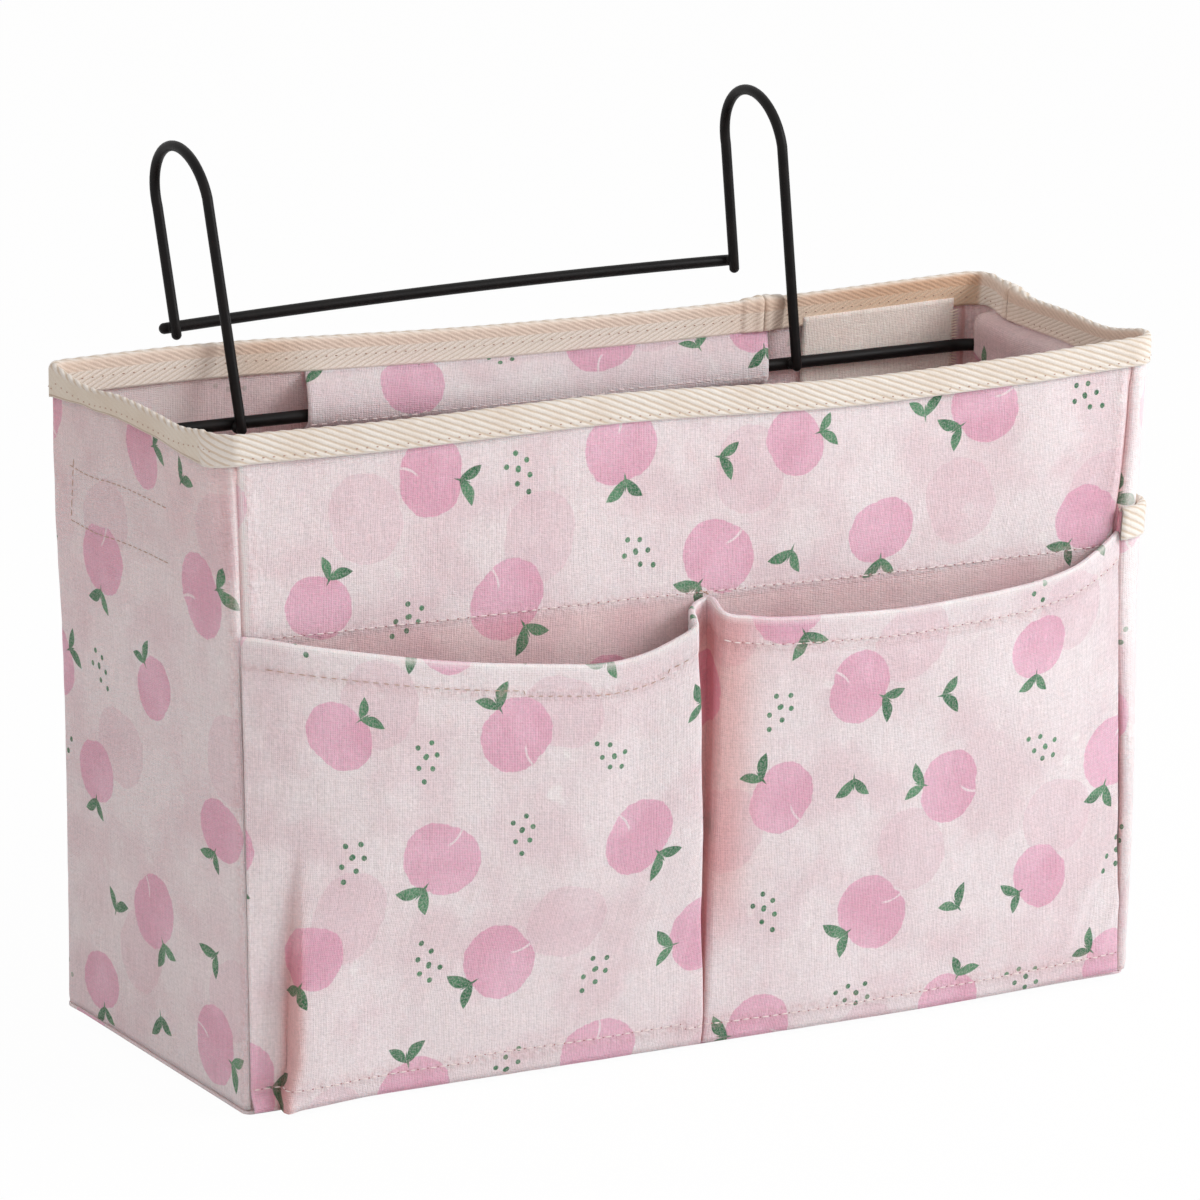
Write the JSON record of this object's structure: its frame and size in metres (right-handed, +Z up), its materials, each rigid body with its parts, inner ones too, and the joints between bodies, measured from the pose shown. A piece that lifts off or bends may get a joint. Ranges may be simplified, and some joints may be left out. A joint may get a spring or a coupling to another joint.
{
  "type": "bedside caddy",
  "caption": "Open canvas storage bag with front and side pockets, hung from a bed rail by a bent wire hanger with a rod in fabric sleeves.",
  "frame": {"origin": "middle of the bottom panel's underside", "axes": "+Z up, +X to the right and -Y to the front, seen from the front where the two pouches are"},
  "size_m": [0.3349, 0.1686, 0.2657],
  "materials": {
    "printed_canvas": "plain-weave cotton canvas, pale pink ground printed with round fruits, leaves and dots",
    "plain_canvas": "unprinted paler reverse of the canvas",
    "cotton_tape": "natural cotton herringbone tape",
    "stiffener_board": "plain matt board",
    "black_wire": "satin black coated steel wire"
  },
  "bodies": {
    "bag": {"bottom_panel": "printed_canvas", "bottom_board": "stiffener_board", "front_panel": "printed_canvas", "back_panel": "printed_canvas", "left_side_panel": "printed_canvas", "right_side_panel": "printed_canvas", "rim_tape_long": "cotton_tape", "rim_tape_corner": "cotton_tape", "front_pouch_strip": "printed_canvas", "side_pocket": "printed_canvas", "side_pocket_tape": "cotton_tape", "back_rod_sleeve": "printed_canvas", "left_arm_sleeve": "printed_canvas", "right_arm_sleeve": "printed_canvas", "back_patch": "plain_canvas"},
    "hanger": {"hanger_rod": "black_wire", "left_hook": "black_wire", "right_hook": "black_wire", "rear_bar": "black_wire"}
  },
  "joints": [
    {"name": "hanger_tip", "type": "hinge", "parent": "bag", "child": "hanger", "pos_m": [0, 0.0474, 0.1805], "axis": [1, 0, 0], "range_deg": [0, 9]}
  ]
}
